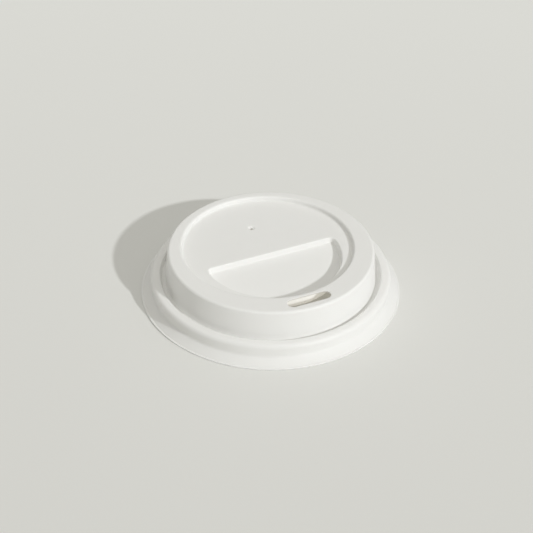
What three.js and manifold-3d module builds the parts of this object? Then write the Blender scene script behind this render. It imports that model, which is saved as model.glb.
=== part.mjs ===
// Takeaway cup lid: one thin formed shell that snaps over the rolled rim of a paper cup.
// Millimetres, +Z up. The origin is the centre of the lip's underside, and the sip slot is toward -Y.
import * as THREE from "three";
import { mergeVertices } from "three/addons/utils/BufferGeometryUtils.js";
import Module from "manifold-3d";

// Sheet and lip
const WALL = 0.6;
const LIP_RADIUS = 47.5;
const LIP_WIDTH = 0.6;
const LIP_ROUND = 0.3;

// Skirt: a flare rises from the lip to the waist, which clips under the cup's rolled rim
const WAIST_RADIUS = 43.6;
const WAIST_HEIGHT = 3.1;
const WAIST_ROUND = 1.2;
const BEAD_BULGE = 0.6;

// Crest: the ring that covers the cup's rolled rim
const CREST_HEIGHT = 8.0;
const CREST_WIDTH = 3.7;
const CREST_OUTER_ROUND = 1.5;
const CREST_INNER_ROUND = 0.6;

// Valley: the narrow trough that plugs the mouth of the cup
const VALLEY_DEPTH = 2.1;
const VALLEY_WIDTH = 1.5;
const VALLEY_DRAFT = 0.6;
const VALLEY_ROUND = 0.35;

// Dome wall and rim
const DOME_HEIGHT = 17.85;
const DOME_DRAFT = 0.7;
const RIM_ROUND = 1.0;

// Round recess in the top, set off centre so that the land is wide where the slot is
const RECESS_RADIUS = 32.1;
const RECESS_SLOPE = 1.7;
const RECESS_DEPTH = 1.7;
const RECESS_SHIFT = 2.85;

// Half-round pocket in the recess. Its floor falls by the stated slope from its straight side toward the slot
const POCKET_RADIUS = 25.3;
const POCKET_Y = -1.3;
const POCKET_CHORD_Y = 0.3;
const POCKET_DEPTH = 2.0;
const POCKET_FALL = 0.1;
const POCKET_DRAFT = 0.5;
const POCKET_CORNER = 2.0;
const POCKET_EDGE_ROUND = 0.5;
const POCKET_FOOT_ROUND = 0.5;

// Sip slot through the wide land, and the vent opposite it
const SLOT_LENGTH = 16.6;
const SLOT_WIDTH = 4.4;
const SLOT_GAP = 0.9;
const VENT_Y = 17.4;
const VENT_RADIUS = 0.65;
const DIMPLE_RADIUS = 1.35;
const DIMPLE_DEPTH = 0.3;

// Fineness of the faceted solid, and how far a cutter runs past what it cuts
const AROUND = 72;
const POCKET_ARC_STEPS = 32;
const POCKET_CORNER_STEPS = 4;
const SMALL_HOLE_STEPS = 16;
const CHORD_ERROR = 0.05;
const SAME_POINT = 1e-4;
const OVERSHOOT = 1;

const RECESS_FLOOR = DOME_HEIGHT - RECESS_DEPTH;
const POCKET_FLOOR = RECESS_FLOOR - POCKET_DEPTH;
const SLOT_Y = RECESS_SHIFT - RECESS_RADIUS - SLOT_GAP - SLOT_WIDTH / 2;

const wasm = await Module();
wasm.setup();

// A corner of a section: where its two straight sides would meet, and the radius that rounds it.
function corner(x, y, round = 0) {
  return { point: new THREE.Vector2(x, y), round };
}

// The angle by which a path turns left at b.
function turnAt(a, b, c) {
  const before = b.clone().sub(a);
  const after = c.clone().sub(b);
  return Math.atan2(before.cross(after), before.dot(after));
}

// Moves a path of corners to its right by a distance. Rounds keep their centres, so the wall stays even.
function offset(corners, distance) {
  const last = corners.length - 1;
  return corners.map(({ point, round }, i) => {
    const a = corners[Math.max(i - 1, 0)].point;
    const c = corners[Math.min(i + 1, last)].point;
    const before = i > 0 ? point.clone().sub(a).normalize() : c.clone().sub(point).normalize();
    const after = i < last ? c.clone().sub(point).normalize() : before;
    const side = new THREE.Vector2(before.y + after.y, -before.x - after.x);
    side.multiplyScalar(distance / (1 + before.dot(after)));
    const turn = i > 0 && i < last ? turnAt(a, point, c) : 0;
    const wider = round + Math.sign(turn) * distance;
    return { point: point.clone().add(side), round: round > 0 ? Math.max(wider, 0) : 0 };
  });
}

// The points of a path of corners, each round an arc with as few steps as the chord error allows.
function roundedPath(corners) {
  const points = [corners[0].point];
  for (let i = 1; i < corners.length - 1; i++) {
    const { point, round } = corners[i];
    const a = corners[i - 1].point;
    const c = corners[i + 1].point;
    const turn = turnAt(a, point, c);
    if (round === 0) {
      points.push(point);
      continue;
    }
    const reach = round * Math.tan(Math.abs(turn) / 2);
    const start = point.clone().add(a.clone().sub(point).setLength(reach));
    const along = point.clone().sub(a).normalize();
    const toCentre = new THREE.Vector2(-along.y, along.x).multiplyScalar(Math.sign(turn) * round);
    const centre = start.clone().add(toCentre);
    const steps = Math.ceil(Math.abs(turn) / (2 * Math.acos(Math.max(1 - CHORD_ERROR / round, 0))));
    for (let k = 0; k <= steps; k++) {
      points.push(start.clone().rotateAround(centre, (turn * k) / steps));
    }
  }
  points.push(corners[corners.length - 1].point);
  return points;
}

// A geometry's solid. Triangles that shrank to a line at a pole are left out.
function solid(geometry) {
  const bare = geometry.clone();
  bare.deleteAttribute("normal");
  bare.deleteAttribute("uv");
  const merged = mergeVertices(bare, SAME_POINT);
  const index = merged.index.array;
  const kept = [];
  for (let i = 0; i < index.length; i += 3) {
    const [a, b, c] = index.slice(i, i + 3);
    if (a !== b && b !== c && c !== a) kept.push(a, b, c);
  }
  return new wasm.Manifold(
    new wasm.Mesh({
      numProp: 3,
      vertProperties: merged.attributes.position.array,
      triVerts: new Uint32Array(kept),
    }),
  );
}

// A solid turned about +Z from a section that runs up from the axis and back to it.
function turned(points, steps = AROUND) {
  return solid(new THREE.LatheGeometry(points, steps).rotateX(Math.PI / 2));
}

// A solid with upright sides over an outline.
function upright(shape, low, high, curveSegments) {
  const depth = high - low;
  const geometry = new THREE.ExtrudeGeometry(shape, { depth, bevelEnabled: false, curveSegments });
  return solid(geometry.translate(0, 0, low));
}

// A solid stacked from rings with equal point counts, from the lowest to the highest.
function stacked(rings) {
  const count = rings[0].length;
  const index = [];
  for (let level = 0; level < rings.length - 1; level++) {
    for (let i = 0; i < count; i++) {
      const a = level * count + i;
      const b = level * count + ((i + 1) % count);
      index.push(a, b, b + count, a, b + count, a + count);
    }
  }
  const cap = THREE.ShapeUtils.triangulateShape(rings[0], []);
  const top = (rings.length - 1) * count;
  cap.forEach(([a, b, c]) => index.push(c, b, a, top + a, top + b, top + c));
  const geometry = new THREE.BufferGeometry().setFromPoints(rings.flat());
  geometry.setIndex(index);
  return solid(geometry);
}

// The outer face's section, from the lip's edge up to the rim and in to the axis.
function outerCorners() {
  const crestOuter = WAIST_RADIUS + BEAD_BULGE;
  const crestInner = crestOuter - CREST_WIDTH;
  const valleyOuter = crestInner - VALLEY_DRAFT;
  const valleyInner = valleyOuter - VALLEY_WIDTH;
  const valleyFloor = CREST_HEIGHT - VALLEY_DEPTH;
  return [
    corner(LIP_RADIUS, WALL),
    corner(LIP_RADIUS - LIP_WIDTH, WALL, LIP_ROUND),
    corner(WAIST_RADIUS, WAIST_HEIGHT, WAIST_ROUND),
    corner(crestOuter, CREST_HEIGHT, CREST_OUTER_ROUND),
    corner(crestInner, CREST_HEIGHT, CREST_INNER_ROUND),
    corner(valleyOuter, valleyFloor, VALLEY_ROUND),
    corner(valleyInner, valleyFloor, VALLEY_ROUND),
    corner(valleyInner - DOME_DRAFT, DOME_HEIGHT, RIM_ROUND),
    corner(0, DOME_HEIGHT),
  ];
}

// The lid's outside as a full solid.
function outerBody() {
  const section = roundedPath(outerCorners());
  return turned([new THREE.Vector2(0, 0), new THREE.Vector2(LIP_RADIUS, 0), ...section]);
}

// The space under the lid, one wall thickness inside the outer face, open at the bottom.
function innerBody() {
  const section = roundedPath(offset(outerCorners(), -WALL)).slice(1);
  const below = -OVERSHOOT;
  return turned([new THREE.Vector2(0, below), new THREE.Vector2(section[0].x, below), ...section]);
}

// The recess, or the form of its underside when it is grown by the wall.
function recessBody(growth) {
  const lean = 2 * Math.atan(RECESS_DEPTH / RECESS_SLOPE);
  const round = RECESS_SLOPE / 2 / Math.sin(lean);
  const middle = RECESS_RADIUS - RECESS_SLOPE / 2;
  const reach = round * Math.tan(lean / 2);
  const corners = [
    corner(0, RECESS_FLOOR),
    corner(middle - RECESS_SLOPE / 2 + reach, RECESS_FLOOR, round),
    corner(middle + RECESS_SLOPE / 2 - reach, DOME_HEIGHT, round),
    corner(RECESS_RADIUS + OVERSHOOT, DOME_HEIGHT),
  ];
  const section = roundedPath(offset(corners, growth));
  section.pop();
  const edge = section[section.length - 1];
  const high = DOME_HEIGHT + OVERSHOOT;
  section.push(new THREE.Vector2(edge.x, high), new THREE.Vector2(0, high));
  return turned(section).translate([0, RECESS_SHIFT, 0]);
}

// Points at even steps along an arc, both ends included.
function arc(x, y, radius, from, to, steps) {
  return Array.from({ length: steps + 1 }, (_, k) => {
    const angle = from + ((to - from) * k) / steps;
    return new THREE.Vector2(x + radius * Math.cos(angle), y + radius * Math.sin(angle));
  });
}

// The pocket's outline, moved in from its edge all round by an inset: two corners and the long arc.
function pocketOutline(inset) {
  const cornerY = POCKET_CHORD_Y - POCKET_CORNER;
  const rise = POCKET_Y - cornerY;
  const cornerX = Math.sqrt((POCKET_RADIUS - POCKET_CORNER) ** 2 - rise ** 2);
  const sweep = Math.atan2(rise, cornerX);
  const round = POCKET_CORNER - inset;
  const radius = POCKET_RADIUS - inset;
  const right = arc(cornerX, cornerY, round, -sweep, Math.PI / 2, POCKET_CORNER_STEPS);
  const left = arc(-cornerX, cornerY, round, Math.PI / 2, Math.PI + sweep, POCKET_CORNER_STEPS);
  const long = arc(0, POCKET_Y, radius, Math.PI + sweep, 2 * Math.PI - sweep, POCKET_ARC_STEPS);
  return [...right, ...left, ...long.slice(1, -1)];
}

// The pocket, or the form of its underside when it is grown by the wall.
function pocketBody(growth) {
  const corners = [
    corner(POCKET_DRAFT + OVERSHOOT, POCKET_FLOOR),
    corner(POCKET_DRAFT, POCKET_FLOOR, POCKET_FOOT_ROUND),
    corner(0, RECESS_FLOOR, POCKET_EDGE_ROUND),
    corner(-OVERSHOOT, RECESS_FLOOR),
  ];
  const section = roundedPath(offset(corners, -growth)).slice(1, -1);
  const edge = section[section.length - 1];
  section.push(new THREE.Vector2(edge.x, edge.y + OVERSHOOT));
  const rings = section.map((p) => {
    const share = THREE.MathUtils.clamp((RECESS_FLOOR - growth - p.y) / POCKET_DEPTH, 0, 1);
    const fall = POCKET_FALL * share;
    return pocketOutline(p.x).map(({ x, y }) => new THREE.Vector3(x, y, p.y - fall * (POCKET_CHORD_Y - y)));
  });
  return stacked(rings);
}

// The sip slot: straight sides and round ends.
function slotBody() {
  const radius = SLOT_WIDTH / 2;
  const reach = SLOT_LENGTH / 2 - radius;
  const shape = new THREE.Shape();
  shape.absarc(reach, SLOT_Y, radius, -Math.PI / 2, Math.PI / 2);
  shape.absarc(-reach, SLOT_Y, radius, Math.PI / 2, (3 * Math.PI) / 2);
  return upright(shape, DOME_HEIGHT - WALL - OVERSHOOT, DOME_HEIGHT + OVERSHOOT, SMALL_HOLE_STEPS);
}

// The vent: a pinhole at the bottom of a shallow dimple.
function ventBody() {
  const high = RECESS_FLOOR + OVERSHOOT;
  const low = RECESS_FLOOR - WALL - OVERSHOOT;
  const section = [
    [0, low],
    [VENT_RADIUS, low],
    [VENT_RADIUS, RECESS_FLOOR - DIMPLE_DEPTH],
    [DIMPLE_RADIUS, RECESS_FLOOR],
    [DIMPLE_RADIUS, high],
    [0, high],
  ].map(([x, y]) => new THREE.Vector2(x, y));
  return turned(section, SMALL_HOLE_STEPS).translate([0, VENT_Y, 0]);
}

// The whole lid as one solid.
function lidBody() {
  const space = innerBody().subtract(recessBody(WALL)).subtract(pocketBody(WALL));
  return outerBody()
    .subtract(recessBody(0))
    .subtract(pocketBody(0))
    .subtract(space)
    .subtract(slotBody())
    .subtract(ventBody());
}

// A solid's mesh geometry, for drawing.
function geometryOf(body) {
  const { vertProperties, triVerts } = body.getMesh();
  const geometry = new THREE.BufferGeometry();
  geometry.setAttribute("position", new THREE.BufferAttribute(vertProperties, 3));
  geometry.setIndex(new THREE.BufferAttribute(triVerts, 1));
  geometry.computeVertexNormals();
  return geometry;
}

const mattWhite = new THREE.MeshStandardMaterial({
  color: 0xeeeeea,
  roughness: 0.55,
  metalness: 0,
});

const lid = new THREE.Mesh(geometryOf(lidBody()), mattWhite);
lid.name = "cup_lid";

const part = new THREE.Group();
part.add(lid);

export default part;
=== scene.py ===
# %% [markdown]
# # A takeaway cup lid
# The lid is one thin sheet of white plastic, formed over a mould and then trimmed and punched. The solid
# model already holds its true sizes. This lesson makes the surface that is seen: smooth curves in place
# of flat facets, the cut edges of the sheet, and the soft satin white. Everything is in metres, in the
# solid model's own frame: +Z is up, the lid rests on z = 0, and the sip slot is toward -Y.

# %% The solid model
import math

import bpy
from mathutils import Matrix, Vector


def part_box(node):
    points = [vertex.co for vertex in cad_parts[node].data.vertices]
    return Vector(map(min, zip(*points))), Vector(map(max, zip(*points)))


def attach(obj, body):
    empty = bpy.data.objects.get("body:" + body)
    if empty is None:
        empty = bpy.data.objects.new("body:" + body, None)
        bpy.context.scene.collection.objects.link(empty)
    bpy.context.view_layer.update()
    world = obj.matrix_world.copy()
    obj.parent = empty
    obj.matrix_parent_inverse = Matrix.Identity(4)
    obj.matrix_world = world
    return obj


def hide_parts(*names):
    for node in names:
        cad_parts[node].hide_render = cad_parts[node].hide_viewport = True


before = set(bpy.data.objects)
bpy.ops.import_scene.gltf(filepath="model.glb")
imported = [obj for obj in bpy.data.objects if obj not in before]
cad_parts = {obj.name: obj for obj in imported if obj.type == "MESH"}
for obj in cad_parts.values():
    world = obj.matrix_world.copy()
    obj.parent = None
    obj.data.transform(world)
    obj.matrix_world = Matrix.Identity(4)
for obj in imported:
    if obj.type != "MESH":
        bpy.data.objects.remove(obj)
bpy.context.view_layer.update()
LOW, HIGH = (Vector(corner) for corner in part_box("cup_lid"))
print("solid lid, mm:", [round(1000 * side, 2) for side in HIGH - LOW])

# %% [markdown]
# ## Sizes
# The lid's radius and height come from the solid model. The other sizes are those of the forming mould,
# given here once, in millimetres, and handed to the node tree as named inputs. Changing one of them
# changes every face that meets it.

# %% Sizes of the mould
MM = 0.001
SIZES = {
    "Wall": 0.6,
    "Lip radius": (HIGH.x - LOW.x) / 2 / MM,
    "Lip width": 0.6,
    "Lip round": 0.3,
    "Waist radius": 43.6,
    "Waist height": 3.1,
    "Waist round": 1.2,
    "Bead bulge": 0.6,
    "Crest height": 8.0,
    "Crest width": 3.7,
    "Crest outer round": 1.5,
    "Crest inner round": 0.6,
    "Valley depth": 2.1,
    "Valley width": 1.5,
    "Valley draft": 0.6,
    "Valley round": 0.35,
    "Dome height": HIGH.z / MM,
    "Dome draft": 0.7,
    "Rim round": 1.0,
    "Recess radius": 32.1,
    "Recess slope": 1.7,
    "Recess depth": 1.7,
    "Recess shift": 2.85,
    "Pocket radius": 25.3,
    "Pocket depth": 2.0,
    "Pocket fall": 0.1,
    "Pocket draft": 0.5,
    "Pocket y": -1.3,
    "Pocket chord y": 0.3,
    "Pocket corner": 2.0,
    "Pocket edge round": 0.5,
    "Pocket foot round": 0.5,
    "Slot length": 16.6,
    "Slot width": 4.4,
    "Slot gap": 0.9,
    "Vent y": 17.4,
    "Vent radius": 0.65,
    "Dimple radius": 1.35,
    "Dimple depth": 0.3,
}
LEAD = 0.08
ROUND_STEPS = 7
CIRCLE_POINTS = 256
SLOT_POINTS = 64
VENT_POINTS = 32
EDGE_ROUND = 0.07
SAME_HEIGHT = 0.001
SAME_POINT = 0.002
print("sizes set for the mould:", len(SIZES))

# %% [markdown]
# ## Writing nodes as formulas
# A node tree is easier to read when its sums look like sums. `Number` wraps a socket that carries a
# number, and each operator adds the Math node that does it. `Tree` adds every other kind of node by one
# method: the node's type, then its settings, then what goes into its sockets. Geometry trees and
# materials both use them.

# %% Numbers that are sockets
class Number:
    def __init__(self, tree, socket):
        self.tree = tree
        self.socket = socket

    def math(self, operation, *others, swap=False):
        values = [self, *others]
        if swap:
            values.reverse()
        return self.tree.number("ShaderNodeMath", {"operation": operation}, dict(enumerate(values)))

    def __add__(self, other):
        return self.math("ADD", other)

    def __radd__(self, other):
        return self.math("ADD", other, swap=True)

    def __sub__(self, other):
        return self.math("SUBTRACT", other)

    def __rsub__(self, other):
        return self.math("SUBTRACT", other, swap=True)

    def __mul__(self, other):
        return self.math("MULTIPLY", other)

    def __rmul__(self, other):
        return self.math("MULTIPLY", other, swap=True)

    def __truediv__(self, other):
        return self.math("DIVIDE", other)

    def __neg__(self):
        return self * -1

    def clamped(self, low, high):
        return self.math("MAXIMUM", low).math("MINIMUM", high)


# %% Trees of nodes
class Tree:
    def __init__(self, nodes, links):
        self.nodes = nodes
        self.links = links

    def node(self, kind, settings=None, inputs=None):
        node = self.nodes.new(kind)
        for name, value in (settings or {}).items():
            setattr(node, name, value)
        for key, value in (inputs or {}).items():
            self.feed(node.inputs[key], value)
        return node

    def feed(self, socket, value):
        for one in value if isinstance(value, list) else [value]:
            source = one.socket if isinstance(one, Number) else one
            if isinstance(source, bpy.types.NodeSocket):
                self.links.new(source, socket)
            else:
                socket.default_value = source

    def add(self, kind, settings=None, inputs=None, output=0):
        return self.node(kind, settings, inputs).outputs[output]

    def number(self, kind, settings=None, inputs=None, output=0):
        return Number(self, self.add(kind, settings, inputs, output))

    def vector(self, x, y, z=0.0):
        return self.add("ShaderNodeCombineXYZ", None, {"X": x, "Y": y, "Z": z})


# %% [markdown]
# ## Outlines
# Each step in the sheet follows a closed outline: a circle for the lip, the recess and the vent, a
# half-round shape for the pocket, and a long round-ended shape for the slot. All of them have one rule. A
# point's outward direction turns evenly through a full circle. A small arc follows that direction, and
# its centre stays at a corner, or follows a larger arc. That rounds the corners exactly, with the points
# in order and without a boolean.

# %% Points on a closed outline
def outline(tree, points, place):
    """A closed level curve. place gives x and y from the outward direction's angle, which is 0 toward -Y."""
    circle = tree.add("GeometryNodeCurvePrimitiveCircle", {"mode": "RADIUS"}, {"Resolution": points})
    index = tree.number("GeometryNodeInputIndex")
    angle = (index + 0.5) * (2 * math.pi / points) - math.pi
    placed = tree.add("GeometryNodeSetPosition", None, {0: circle, "Position": tree.vector(*place(angle))})
    return tree.add("GeometryNodeSetCurveNormal", {"mode": "Z_UP"}, {0: placed})


def round_outline(tree, points, radius, y=0.0):
    return outline(tree, points, lambda a: (radius * a.math("SINE"), y - radius * a.math("COSINE")))


def pocket_outline(tree, points, radius, corner, y, chord_y):
    inner = radius - corner
    end = ((corner + y - chord_y) / inner).math("ARCCOSINE")

    def place(a):
        held = a.clamped(-end, end)
        x = inner * held.math("SINE") + corner * a.math("SINE")
        return x, y - inner * held.math("COSINE") - corner * a.math("COSINE")

    return outline(tree, points, place)


def slot_outline(tree, points, length, width, y):
    radius = width * 0.5
    reach = length * 0.5 - radius

    def place(a):
        side = a.math("SINE")
        return radius * side + reach * side.math("SIGN"), y - radius * a.math("COSINE")

    return outline(tree, points, place)


# %% [markdown]
# ## Sections
# A section is the shape that a cut across the sheet would show. It is given by its corners: how far out
# from the outline, how high, and the radius that rounds it. Fillet Curve turns each corner into an arc,
# and Curve to Mesh sweeps the result along the outline. Every section starts and ends with a short level
# stretch, so that the flat faces that join it stay truly flat in their shading.

# %% A section swept along an outline
def switch_on_index(tree, kind, values):
    node = tree.node("GeometryNodeIndexSwitch", {"data_type": kind})
    while len(node.index_switch_items) < len(values):
        node.index_switch_items.new()
    tree.feed(node.inputs["Index"], tree.add("GeometryNodeInputIndex"))
    for place, value in enumerate(values):
        tree.feed(node.inputs[place + 1], value)
    return node.outputs[0]


def swept(tree, path, corners):
    """The face that a section makes along a path. Each corner is (out, up, round)."""
    line = tree.add("GeometryNodeMeshLine", None, {"Count": len(corners)})
    # A section's own y runs downward, so up is negated.
    places = switch_on_index(tree, "VECTOR", [tree.vector(out, -up) for out, up, _ in corners])
    placed = tree.add("GeometryNodeSetPosition", None, {0: line, "Position": places})
    rounds = switch_on_index(tree, "FLOAT", [radius for _, _, radius in corners])
    stored = tree.add(
        "GeometryNodeStoreNamedAttribute",
        {"data_type": "FLOAT", "domain": "POINT"},
        {"Geometry": placed, "Name": "round", "Value": rounds},
    )
    curve = tree.add("GeometryNodeMeshToCurve", None, {"Mesh": stored})
    radius = tree.add("GeometryNodeInputNamedAttribute", {"data_type": "FLOAT"}, {"Name": "round"})
    section = tree.add(
        "GeometryNodeFilletCurve",
        {"mode": "POLY"},
        {"Curve": curve, "Count": ROUND_STEPS, "Radius": radius, "Limit Radius": True},
    )
    return tree.add("GeometryNodeCurveToMesh", None, {"Curve": path, "Profile Curve": section})


# %% [markdown]
# ## Flats
# The land, the floor of the recess and the floor of the pocket are level faces with holes of any shape.
# The swept sections already end at their edges. So a flat is made from the open edges that lie at its
# height: they become closed curves, and Fill Curve fills the space between them, leaving the inner ones
# open. The pocket's floor is made level too, and then tilted with its wall, since in the photograph it
# seems to fall toward the slot, which would let spilt drink run back.

# %% A level face between open edges
def flat(tree, walls, height):
    ends = tree.node("GeometryNodeInputMeshEdgeVertices")
    places = [ends.outputs[f"Position {end}"] for end in (1, 2)]
    away = [tree.number("ShaderNodeSeparateXYZ", None, {0: place}, "Z") - height for place in places]
    level = away[0].math("ABSOLUTE") + away[1].math("ABSOLUTE")
    neighbours = tree.number("GeometryNodeInputMeshEdgeNeighbors")
    chosen = level.math("LESS_THAN", SAME_HEIGHT) * neighbours.math("LESS_THAN", 1.5)
    curves = tree.add("GeometryNodeMeshToCurve", None, {"Mesh": walls, "Selection": chosen})
    face = tree.add("GeometryNodeFillCurve", {"mode": "TRIANGLES"}, {"Curve": curves})
    lift = tree.vector(0.0, 0.0, height)
    return tree.add("GeometryNodeTransform", None, {"Geometry": face, "Translation": lift})


# %% [markdown]
# ## The whole sheet
# One tree makes the lid's upper face. The skirt, the crest ring and the dome are one section round the
# lip's circle. The recess sits off centre, so it can't be part of that section and has a circle of its
# own. The pocket, the slot and the vent follow their own outlines too. The three flats close the face
# between them.

# %% The corners of each section
def lip_to_rim(size):
    """From the lip's edge up to the land, measured from the lip's radius."""
    waist = size["Waist radius"] - size["Lip radius"]
    crest_outer = waist + size["Bead bulge"]
    crest_inner = crest_outer - size["Crest width"]
    valley_outer = crest_inner - size["Valley draft"]
    valley_inner = valley_outer - size["Valley width"]
    valley_floor = size["Crest height"] - size["Valley depth"]
    rim = valley_inner - size["Dome draft"]
    return [
        (0.0, size["Wall"], 0.0),
        (-size["Lip width"], size["Wall"], size["Lip round"]),
        (waist, size["Waist height"], size["Waist round"]),
        (crest_outer, size["Crest height"], size["Crest outer round"]),
        (crest_inner, size["Crest height"], size["Crest inner round"]),
        (valley_outer, valley_floor, size["Valley round"]),
        (valley_inner, valley_floor, size["Valley round"]),
        (rim, size["Dome height"], size["Rim round"]),
        (rim - size["Rim round"], size["Dome height"], 0.0),
    ]


def land_to_recess(size):
    """An even S from the land down to the recess's floor, measured from the recess's radius."""
    slope = size["Recess slope"]
    steepness = size["Recess depth"] / slope
    reach = slope * (steepness * steepness + 1) * 0.25
    radius = reach / steepness
    floor = size["Dome height"] - size["Recess depth"]
    return [
        (LEAD, size["Dome height"], 0.0),
        (-reach, size["Dome height"], radius),
        (reach - slope, floor, radius),
        (-slope - LEAD, floor, 0.0),
    ]


def recess_to_pocket(size):
    """From the recess's floor down to the pocket's floor, measured from the pocket's outline."""
    ledge = size["Dome height"] - size["Recess depth"]
    floor = ledge - size["Pocket depth"]
    edge, foot = size["Pocket edge round"], size["Pocket foot round"]
    return [
        (edge, ledge, 0.0),
        (0.0, ledge, edge),
        (-size["Pocket draft"], floor, foot),
        (-size["Pocket draft"] - foot, floor, 0.0),
    ]


def dimple(size):
    """From the recess's floor down to the vent's edge, measured from the vent's radius."""
    ledge = size["Dome height"] - size["Recess depth"]
    wide = size["Dimple radius"] - size["Vent radius"]
    edge = wide * 0.4
    low = ledge - size["Dimple depth"]
    return [(wide + edge, ledge, 0.0), (wide, ledge, edge), (edge, low, edge), (0.0, low, 0.0)]


def punched(size):
    """The sheet's face at the slot, which the punch draws down a little."""
    top = size["Dome height"]
    return [(0.3, top, 0.0), (0.15, top, 0.15), (0.0, top - 0.05, 0.0)]


def fallen(tree, face, size):
    """Tilts the pocket's floor, so that it falls evenly from its straight side toward the slot."""
    place = tree.add("GeometryNodeInputPosition")
    x, y, z = (tree.number("ShaderNodeSeparateXYZ", None, {0: place}, axis) for axis in "XYZ")
    near = (x * x + y * y).math("LESS_THAN", size["Recess radius"] * size["Recess radius"])
    share = ((size["Dome height"] - size["Recess depth"] - z) / size["Pocket depth"]).clamped(0.0, 1.0)
    run = (size["Pocket chord y"] - y).math("MAXIMUM", 0.0)
    fall = run * share * near * size["Pocket fall"]
    return tree.add("GeometryNodeSetPosition", None, {0: face, "Offset": tree.vector(0.0, 0.0, -fall)})


# %% The tree
def lid_tree():
    group = bpy.data.node_groups.new("Formed lid", "GeometryNodeTree")
    group.interface.new_socket("Geometry", in_out="OUTPUT", socket_type="NodeSocketGeometry")
    for name in ("Hidden face", "Upper face"):
        group.interface.new_socket(name, in_out="INPUT", socket_type="NodeSocketMaterial")
    for name in SIZES:
        group.interface.new_socket(name, in_out="INPUT", socket_type="NodeSocketFloat")
    tree = Tree(group.nodes, group.links)
    given = tree.node("NodeGroupInput")
    size = {name: Number(tree, given.outputs[name]) for name in SIZES}

    top = size["Dome height"]
    slot_y = size["Recess shift"] - size["Recess radius"] - size["Slot gap"] - size["Slot width"] * 0.5
    lip = round_outline(tree, CIRCLE_POINTS, size["Lip radius"])
    recess = round_outline(tree, CIRCLE_POINTS, size["Recess radius"], size["Recess shift"])
    vent = round_outline(tree, VENT_POINTS, size["Vent radius"], size["Vent y"])
    pocket = pocket_outline(
        tree,
        CIRCLE_POINTS,
        size["Pocket radius"],
        size["Pocket corner"],
        size["Pocket y"],
        size["Pocket chord y"],
    )
    slot = slot_outline(tree, SLOT_POINTS, size["Slot length"], size["Slot width"], slot_y)
    parts = [
        swept(tree, lip, lip_to_rim(size)),
        swept(tree, recess, land_to_recess(size)),
        swept(tree, pocket, recess_to_pocket(size)),
        swept(tree, slot, punched(size)),
        swept(tree, vent, dimple(size)),
    ]
    joined = tree.add("GeometryNodeJoinGeometry", None, {0: parts})
    walls = tree.add("GeometryNodeFlipFaces", None, {0: joined})
    ledge = top - size["Recess depth"]
    flats = [flat(tree, walls, height) for height in (top, ledge, ledge - size["Pocket depth"])]
    face = tree.add("GeometryNodeJoinGeometry", None, {0: [walls, *flats]})
    merged = tree.add("GeometryNodeMergeByDistance", None, {"Geometry": face, "Distance": SAME_POINT})
    smooth = tree.add("GeometryNodeSetShadeSmooth", None, {"Geometry": fallen(tree, merged, size)})
    metres = tree.add("GeometryNodeTransform", None, {"Geometry": smooth, "Scale": (MM, MM, MM)})
    real = tree.add("GeometryNodeRealizeInstances", None, {"Geometry": metres})
    out = real
    for name in ("Hidden face", "Upper face"):
        material = given.outputs[name]
        out = tree.add("GeometryNodeSetMaterial", None, {"Geometry": out, "Material": material})
    tree.node("NodeGroupOutput", None, {"Geometry": out})
    return group


# %% [markdown]
# ## Satin white plastic
# Formed white sheet is almost even in colour. What tells it from painted card is in its surface: a fine
# grain from the mould, slow waves where the sheet cooled, and a sheen that changes a little with them.
# The colour itself drifts by about two parts in a hundred. Light also goes a little way into white
# plastic and comes out beside the place where it went in, which softens the edge of each shadow. All of
# it follows the lid's own coordinates, so it stays put when the camera moves.
#
# The sheet is only 0.6 mm thick, so daylight also comes through it, and the hidden side is never black.
# Letting the light through the plastic itself was tried: it made the upper face darker and left the slot
# dark. So the hidden face has a material of its own, the same white with a faint warm glow that stands in
# for the light that comes through. Its strength isn't measured: it was raised until the slot looked as it
# does in the photograph, and in a dark scene it belongs at 0. It shows only in the slot and from below.

# %% The lid's materials
DULLER_WHITE = (0.870, 0.868, 0.853, 1)
BRIGHTER_WHITE = (0.890, 0.889, 0.876, 1)
LIGHT_SPREAD = 0.0005
LIGHT_THROUGH_SHEET = (1.0, 0.95, 0.84, 1)
HIDDEN_GLOW = 0.16


def new_material(name):
    material = bpy.data.materials.new(name)
    material.use_nodes = True
    tree = Tree(material.node_tree.nodes, material.node_tree.links)
    return material, tree, material.node_tree.nodes["Principled BSDF"]


def noise(tree, scale, detail, coordinates):
    return tree.number(
        "ShaderNodeTexNoise", None, {"Vector": coordinates, "Scale": scale, "Detail": detail}, "Fac"
    )


def blend(tree, factor, first, second):
    node = tree.node("ShaderNodeMix", {"data_type": "RGBA"}, {"Factor": factor})
    node.inputs[6].default_value = first
    node.inputs[7].default_value = second
    return node.outputs[2]


def satin_white(name, glow):
    material, tree, shader = new_material(name)
    place = tree.add("ShaderNodeTexCoord", None, None, "Object")
    waves = noise(tree, 45.0, 2.0, place)
    clouds = noise(tree, 140.0, 3.0, place)
    grain = noise(tree, 3500.0, 2.0, place)
    tint = (waves * 0.6 + clouds * 0.4).clamped(0.3, 0.7)
    tree.feed(shader.inputs["Base Color"], blend(tree, tint, DULLER_WHITE, BRIGHTER_WHITE))
    tree.feed(shader.inputs["Roughness"], 0.44 + clouds * 0.10 + grain * 0.04)
    height = waves * 0.5 + grain * 0.02
    bump = tree.add("ShaderNodeBump", None, {"Strength": 0.25, "Distance": 0.0002, "Height": height})
    tree.feed(shader.inputs["Normal"], bump)
    shader.inputs["IOR"].default_value = 1.46
    shader.inputs["Emission Color"].default_value = LIGHT_THROUGH_SHEET
    shader.inputs["Emission Strength"].default_value = glow
    shader.inputs["Subsurface Weight"].default_value = 1.0
    shader.inputs["Subsurface Radius"].default_value = (1.0, 1.0, 1.0)
    shader.inputs["Subsurface Scale"].default_value = LIGHT_SPREAD
    return material


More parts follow.
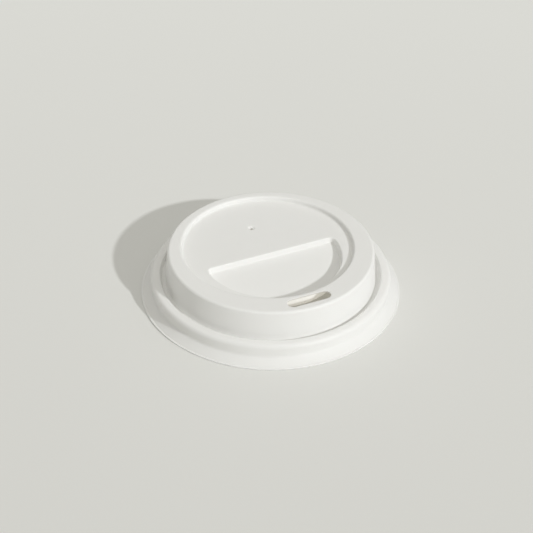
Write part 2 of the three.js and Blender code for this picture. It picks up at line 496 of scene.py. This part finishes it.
# %% [markdown]
# ## From the tree to a plain mesh
# The tree gives the upper face only. Solidify gives it the sheet's thickness, downward, and Bevel takes
# the sharpness off the cut edges: the lip, the slot and the vent. Solidify also gives the hidden face the
# material that stands before the upper face's own in the list. The evaluated result is then kept as a
# plain mesh with just those two materials.

# %% The lid
def finishing(obj):
    thickness = obj.modifiers.new("Sheet thickness", "SOLIDIFY")
    thickness.thickness = SIZES["Wall"] * MM
    thickness.offset = -1.0
    thickness.use_even_offset = True
    thickness.material_offset = -1
    cut = obj.modifiers.new("Cut edges", "BEVEL")
    cut.width = EDGE_ROUND * MM
    cut.segments = 2
    cut.limit_method = "ANGLE"
    cut.angle_limit = math.radians(60)


def keep_two_materials(mesh, upper, hidden):
    """Leaves the upper face's material and the hidden face's material, in that order, and no empty place."""
    below = [mesh.materials[face.material_index] == hidden for face in mesh.polygons]
    mesh.materials.clear()
    mesh.materials.append(upper)
    mesh.materials.append(hidden)
    for face, is_below in zip(mesh.polygons, below):
        face.material_index = int(is_below)


def lid_shell(upper, hidden):
    blank = bpy.data.meshes.new("lid_maker")
    blank.materials.append(hidden)
    blank.materials.append(upper)
    maker = bpy.data.objects.new("lid_maker", blank)
    bpy.context.collection.objects.link(maker)
    forming = maker.modifiers.new("Forming", "NODES")
    forming.node_group = lid_tree()
    sockets = forming.node_group.interface.items_tree
    keys = {socket.name: socket.identifier for socket in sockets if socket.in_out == "INPUT"}
    forming[keys["Upper face"]] = upper
    forming[keys["Hidden face"]] = hidden
    for name, size in SIZES.items():
        forming[keys[name]] = size
    finishing(maker)
    evaluated = maker.evaluated_get(bpy.context.evaluated_depsgraph_get())
    mesh = bpy.data.meshes.new_from_object(evaluated)
    mesh.name = "lid_shell"
    keep_two_materials(mesh, upper, hidden)
    bpy.data.objects.remove(maker)
    bpy.data.meshes.remove(blank)
    shell = bpy.data.objects.new("lid_shell", mesh)
    bpy.context.collection.objects.link(shell)
    return shell


upper_white = satin_white("satin_white_sheet", 0.0)
hidden_white = satin_white("satin_white_hidden_face", HIDDEN_GLOW)
shell = lid_shell(upper_white, hidden_white)
print("lid shell:", len(shell.data.vertices), "points,", len(shell.data.polygons), "faces")
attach(shell, "root")
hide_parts("cup_lid")

# %% [markdown]
# ## Floor
# The lid lies on a plain pale surface. Its colour is close to the lid's own, so the lid is read by its
# shadow and by the light on its steps, not by its outline. It grows a little paler away from the camera.
# The floor is large enough that its edge is never seen.

# %% A pale floor
FLOOR_HALF = 4.0
FLOOR_NEAR = (0.775, 0.773, 0.748, 1)
FLOOR_FAR = (0.865, 0.867, 0.842, 1)


def pale_floor():
    material, tree, shader = new_material("pale_floor")
    place = tree.add("ShaderNodeTexCoord", None, None, "Object")
    drift = noise(tree, 3.0, 2.0, place)
    fibre = noise(tree, 900.0, 3.0, place)
    x, y = (tree.number("ShaderNodeSeparateXYZ", None, {0: place}, axis) for axis in "XY")
    slow = x * 1.3 + y * 1.9
    tint = (slow + drift * 0.3 + fibre * 0.1 + 0.3).clamped(0.0, 1.0)
    tree.feed(shader.inputs["Base Color"], blend(tree, tint, FLOOR_NEAR, FLOOR_FAR))
    tree.feed(shader.inputs["Roughness"], 0.80 + fibre * 0.1)
    bump = tree.add("ShaderNodeBump", None, {"Strength": 0.1, "Distance": 0.0001, "Height": fibre})
    tree.feed(shader.inputs["Normal"], bump)
    shader.inputs["Specular IOR Level"].default_value = 0.2
    mesh = bpy.data.meshes.new("floor")
    signs = [(-1, -1), (1, -1), (1, 1), (-1, 1)]
    corners = [(FLOOR_HALF * x_sign, FLOOR_HALF * y_sign, 0) for x_sign, y_sign in signs]
    mesh.from_pydata(corners, [], [(0, 1, 2, 3)])
    mesh.materials.append(material)
    floor = bpy.data.objects.new("floor", mesh)
    bpy.context.collection.objects.link(floor)
    return floor


pale_floor()
print("floor:", 2 * FLOOR_HALF, "m square")

# %% [markdown]
# ## Light
# A low sun from the front draws the shadow and models the steps. The sky fills the shade. Like a real
# room or a real sky it is brighter overhead than near the horizon, so that a wall in the shade is darker
# than a floor in the shade. The two are balanced so that a level white surface renders about as its
# colour is written. No face clips to white, only a few points on the rounds that face the sun.

# %% Sun and sky
SUN_AZIMUTH = math.radians(-68.0)
SUN_HEIGHT = math.radians(30.2)
SUN_STRENGTH = 1.64
SUN_SOFTNESS = math.radians(2.0)
SUN_COLOUR = (0.975, 0.985, 1.0)
SKY_COLOUR = (1.0, 0.99, 0.935, 1)
LEVEL_SKY = 0.10
TOP_SKY = 0.79


def sun_and_sky():
    light = bpy.data.lights.new("sun", "SUN")
    light.energy = SUN_STRENGTH
    light.angle = SUN_SOFTNESS
    light.color = SUN_COLOUR
    sun = bpy.data.objects.new("sun", light)
    level = math.cos(SUN_HEIGHT)
    toward = Vector((level * math.cos(SUN_AZIMUTH), level * math.sin(SUN_AZIMUTH), math.sin(SUN_HEIGHT)))
    sun.rotation_euler = toward.to_track_quat("Z", "Y").to_euler()
    bpy.context.collection.objects.link(sun)
    world = bpy.data.worlds.new("sky")
    world.use_nodes = True
    tree = Tree(world.node_tree.nodes, world.node_tree.links)
    place = tree.add("ShaderNodeTexCoord", None, None, "Generated")
    up = tree.number("ShaderNodeSeparateXYZ", None, {0: place}, "Z").clamped(0.0, 1.0)
    background = world.node_tree.nodes["Background"]
    background.inputs["Color"].default_value = SKY_COLOUR
    tree.feed(background.inputs["Strength"], LEVEL_SKY + (TOP_SKY - LEVEL_SKY) * up)
    bpy.context.scene.world = world


sun_and_sky()
print("sun height:", round(math.degrees(SUN_HEIGHT), 1), "degrees")

# %% [markdown]
# ## Camera
# The camera stands to the left of the slot and looks down at the lid with a long lens, so the circles
# stay nearly true ellipses. It aims a little above the lid, which puts the lid below the middle of the
# picture.

# %% The camera
CAMERA_AZIMUTH = math.radians(-115)
CAMERA_HEIGHT = math.radians(36.96)
CAMERA_DISTANCE = 0.73768
CAMERA_LENS = 135.08
SENSOR_WIDTH = 36.0
LID_IN_PICTURE = (270.73, 288.74)
PICTURE_SIDE = 533
FOCAL_PIXELS = 2000
CAMERA_ROLL = math.radians(0.66)


def camera():
    level = math.cos(CAMERA_HEIGHT)
    x, y = level * math.cos(CAMERA_AZIMUTH), level * math.sin(CAMERA_AZIMUTH)
    back = Vector((x, y, math.sin(CAMERA_HEIGHT)))
    right = Vector((0, 0, 1)).cross(back).normalized()
    up = back.cross(right)
    from_middle = [place - PICTURE_SIDE / 2 for place in LID_IN_PICTURE]
    across, down = (pixels / FOCAL_PIXELS * CAMERA_DISTANCE for pixels in from_middle)
    place = back * CAMERA_DISTANCE
    aim = up * down - right * across
    data = bpy.data.cameras.new("camera")
    data.lens = CAMERA_LENS
    data.sensor_width = SENSOR_WIDTH
    obj = bpy.data.objects.new("camera", data)
    turn = (place - aim).to_track_quat("Z", "Y").to_matrix().to_4x4()
    obj.matrix_world = Matrix.Translation(place) @ turn @ Matrix.Rotation(CAMERA_ROLL, 4, "Z")
    bpy.context.collection.objects.link(obj)
    bpy.context.scene.camera = obj


camera()
bpy.context.scene.view_settings.view_transform = "Standard"
print("camera at, mm:", [round(1000 * value) for value in bpy.context.scene.camera.matrix_world.translation])
